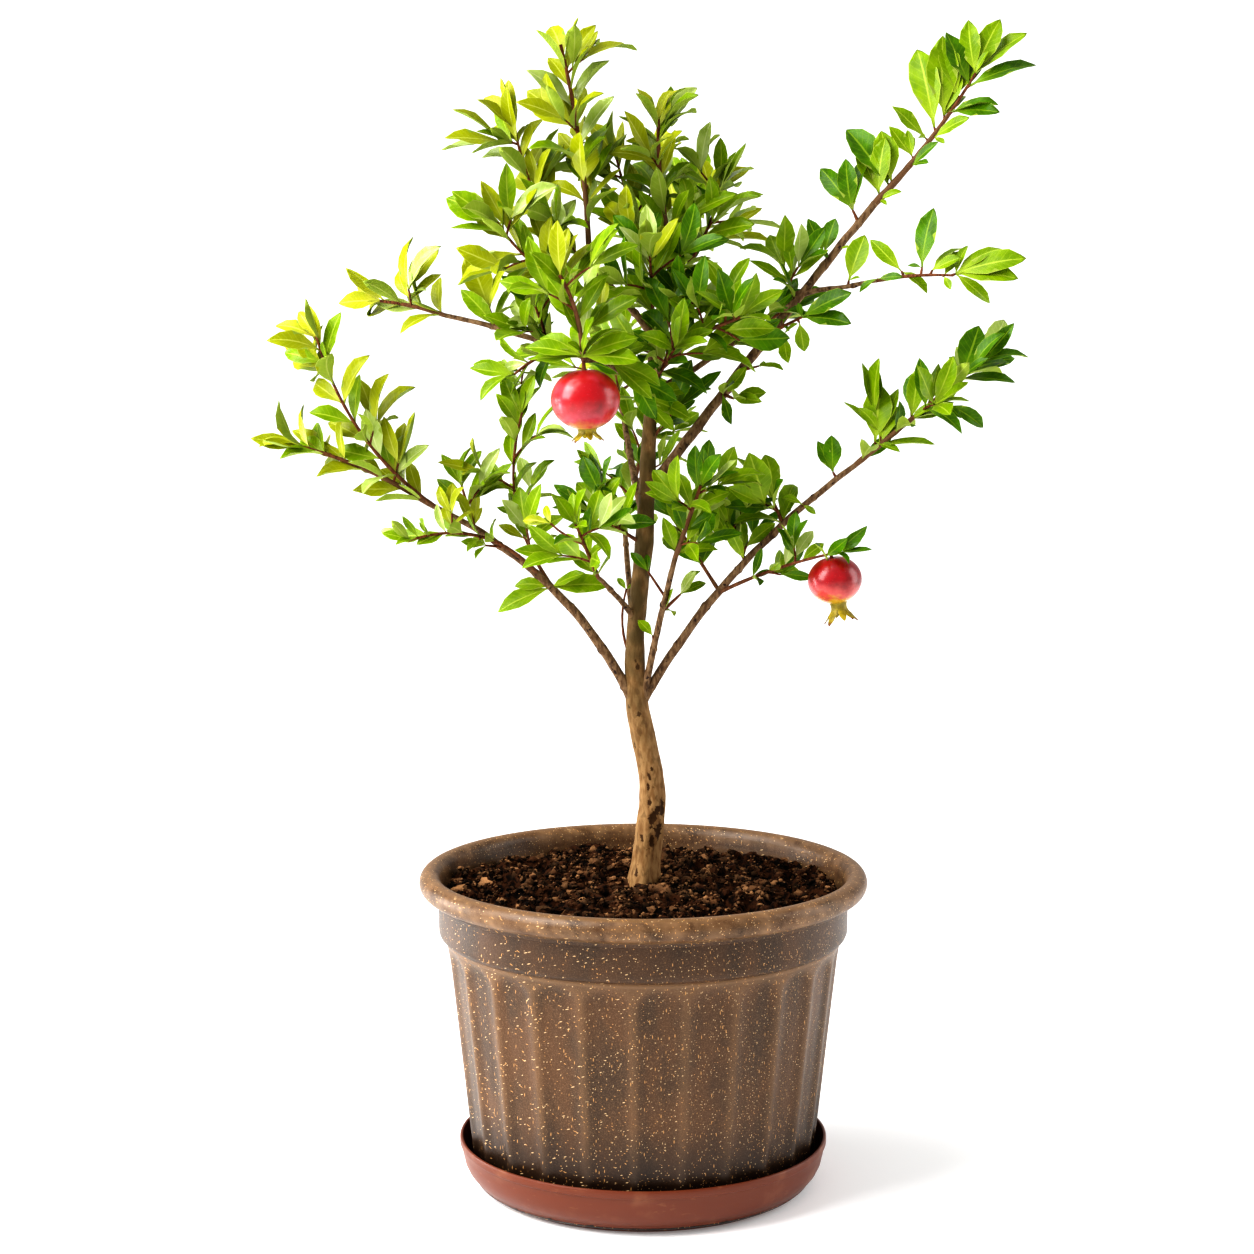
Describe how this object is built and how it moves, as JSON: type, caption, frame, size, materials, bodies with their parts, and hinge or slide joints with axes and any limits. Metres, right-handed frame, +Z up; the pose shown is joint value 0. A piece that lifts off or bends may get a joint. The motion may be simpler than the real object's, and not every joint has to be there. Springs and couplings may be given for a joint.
{
  "type": "potted pomegranate tree",
  "caption": "Young pomegranate tree with a slim bare trunk, an airy crown of glossy leaves and two hanging fruit, in a fluted round pot that stands on a saucer.",
  "frame": {"origin": "centre of the saucer's flat underside", "axes": "+Z up along the trunk, -Y towards the front, the side with the two fruit"},
  "size_m": [0.5873, 0.3836, 0.9061],
  "materials": {
    "saucer_plastic": "moulded terracotta-coloured plastic, satin",
    "pot_composite": "moulded brown composite with pale straw flecks, satin",
    "soil": "dark, crumbly potting soil",
    "bark": "grey-tan bark with dark scars",
    "foliage": "glossy green leaves on red-brown twigs"
  },
  "bodies": {
    "root": {"bough_back_high": "bark", "bough_back_low": "bark", "bough_back_mid": "bark", "bough_crown_left": "bark", "bough_crown_right": "bark", "bough_front": "bark", "bough_front_right": "bark", "bough_left_low": "bark", "bough_left_mid": "bark", "bough_left_small": "bark", "bough_right_inner": "bark", "bough_right_low": "bark", "bough_right_mid": "bark", "bough_upper_right": "bark", "bough_upper_right_side": "bark", "mass_back_high": "foliage", "mass_back_low": "foliage", "mass_back_mid": "foliage", "mass_crown_left": "foliage", "mass_crown_left_top": "foliage", "mass_crown_right": "foliage", "mass_crown_right_low": "foliage", "mass_crown_right_top": "foliage", "mass_crown_top": "foliage", "mass_front_fruit": "foliage", "mass_front_middle": "foliage", "mass_front_right": "foliage", "mass_front_top": "foliage", "mass_leader": "foliage", "mass_left_inner": "foliage", "mass_left_low_mid": "foliage", "mass_left_low_tip": "foliage", "mass_left_low_upright": "foliage", "mass_left_mid_root": "foliage", "mass_left_mid_spur": "foliage", "mass_left_mid_tip": "foliage", "mass_left_mid_under": "foliage", "mass_left_small": "foliage", "mass_left_twig": "foliage", "mass_right_cross": "foliage", "mass_right_inner": "foliage", "mass_right_inner_low": "foliage", "mass_right_low_fruit": "foliage", "mass_right_low_mid": "foliage", "mass_right_low_spur": "foliage", "mass_right_low_tip": "foliage", "mass_right_mid": "foliage", "mass_trunk_left": "foliage", "mass_trunk_right": "foliage", "mass_upper_right_foot": "foliage", "mass_upper_right_low": "foliage", "mass_upper_right_mid": "foliage", "mass_upper_right_side": "foliage", "mass_upper_right_spur": "foliage", "mass_upper_right_tip": "foliage", "pot": "pot_composite", "saucer": "saucer_plastic", "soil": "soil", "trunk": "bark"}
  },
  "joints": []
}
